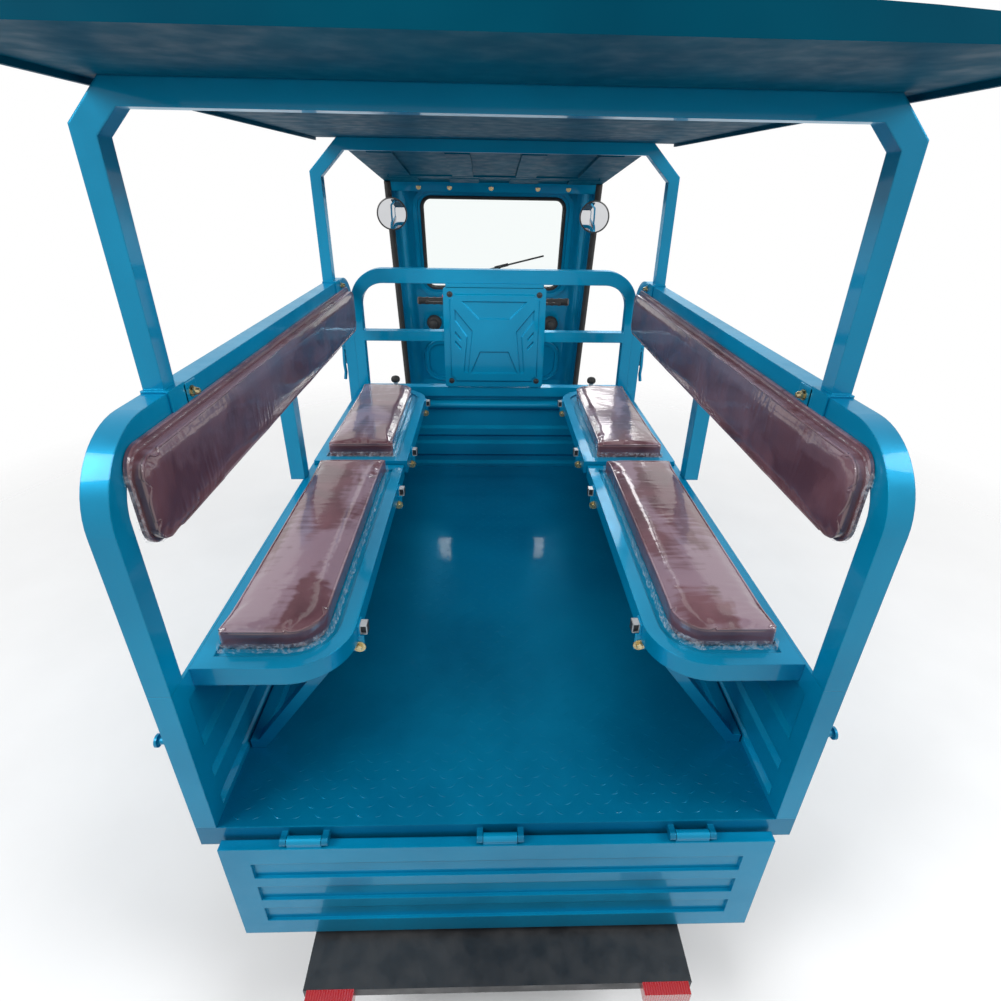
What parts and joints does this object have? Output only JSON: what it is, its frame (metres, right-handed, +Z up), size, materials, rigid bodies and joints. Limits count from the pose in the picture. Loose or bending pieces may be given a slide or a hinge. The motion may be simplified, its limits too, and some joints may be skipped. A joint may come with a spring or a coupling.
{
  "type": "electric auto rickshaw",
  "caption": "Three-wheeled electric passenger vehicle with an open rear bed, side benches, padded hoops, roof on posts and a cab with windscreen.",
  "frame": {"origin": "on the ground under the middle of the vehicle's box", "axes": "+X to the vehicle's right, +Y forward, +Z up"},
  "size_m": [1.232, 2.947, 1.872],
  "materials": {
    "body_paint": "gloss",
    "chassis_paint": "satin",
    "leatherette": "satin",
    "tyre": "matte",
    "rim_paint": "satin",
    "glass": "gloss",
    "mirror": "mirror",
    "black_plastic": "satin",
    "black_rubber": "matte",
    "dark_paint": "gloss",
    "lamp_lens": "gloss",
    "lamp_red": "gloss",
    "motor_alloy": "satin",
    "battery_case": "matte"
  },
  "bodies": {
    "vehicle_frame": {"back_pad_left": "leatherette", "back_pad_right": "leatherette", "battery_pack": "battery_case", "bed_floor": "body_paint", "bench_frames": "body_paint", "bench_legs": "body_paint", "bench_pad_front_left": "leatherette", "bench_pad_front_right": "leatherette", "bench_pad_rear_left": "leatherette", "bench_pad_rear_right": "leatherette", "cab_floor": "body_paint", "cab_roof": "body_paint", "cab_shell": "body_paint", "chassis_frame": "chassis_paint", "drive_motor": "motor_alloy", "driver_back_pad": "leatherette", "driver_seat_base": "body_paint", "driver_seat_pad": "leatherette", "front_wall": "body_paint", "guard_frame": "body_paint", "guard_panel": "body_paint", "headlamps": "lamp_lens", "leaf_springs": "chassis_paint", "mirror_glasses": "mirror", "mirrors": "black_plastic", "passenger_roof": "body_paint", "rear_axle": "chassis_paint", "rear_mudguards": "black_plastic", "rear_step": "chassis_paint", "roof_bows": "body_paint", "side_hoops": "body_paint", "side_walls": "body_paint", "tail_lamps": "lamp_red", "windscreen": "glass", "wiper": "black_plastic"},
    "steering": {"fork": "dark_paint", "front_mudguard": "body_paint", "handlebar": "dark_paint", "hand_controls": "black_rubber"},
    "front_wheel": {"rim_front": "rim_paint", "tyre_front": "tyre"},
    "rear_wheel_left": {"rim_rear_left": "rim_paint", "tyre_rear_left": "tyre"},
    "rear_wheel_right": {"rim_rear_right": "rim_paint", "tyre_rear_right": "tyre"},
    "tailgate": {"tailgate": "body_paint"}
  },
  "joints": [
    {"name": "steering_turn", "type": "hinge", "parent": "vehicle_frame", "child": "steering", "pos_m": [0, 1.2285, 0.245], "axis": [0, -0.4067, 0.9135], "range_deg": [-38, 38]},
    {"name": "front_wheel_spin", "type": "hinge", "parent": "steering", "child": "front_wheel", "pos_m": [0, 1.2285, 0.245], "axis": [1, 0, 0], "continuous": true},
    {"name": "rear_wheel_left_spin", "type": "hinge", "parent": "vehicle_frame", "child": "rear_wheel_left", "pos_m": [-0.47, -0.8515, 0.245], "axis": [1, 0, 0], "continuous": true},
    {"name": "rear_wheel_right_spin", "type": "hinge", "parent": "vehicle_frame", "child": "rear_wheel_right", "pos_m": [0.47, -0.8515, 0.245], "axis": [1, 0, 0], "continuous": true},
    {"name": "tailgate_hinge", "type": "hinge", "parent": "vehicle_frame", "child": "tailgate", "pos_m": [0, -1.3465, 0.57], "axis": [-1, 0, 0], "range_deg": [0, 180]}
  ]
}
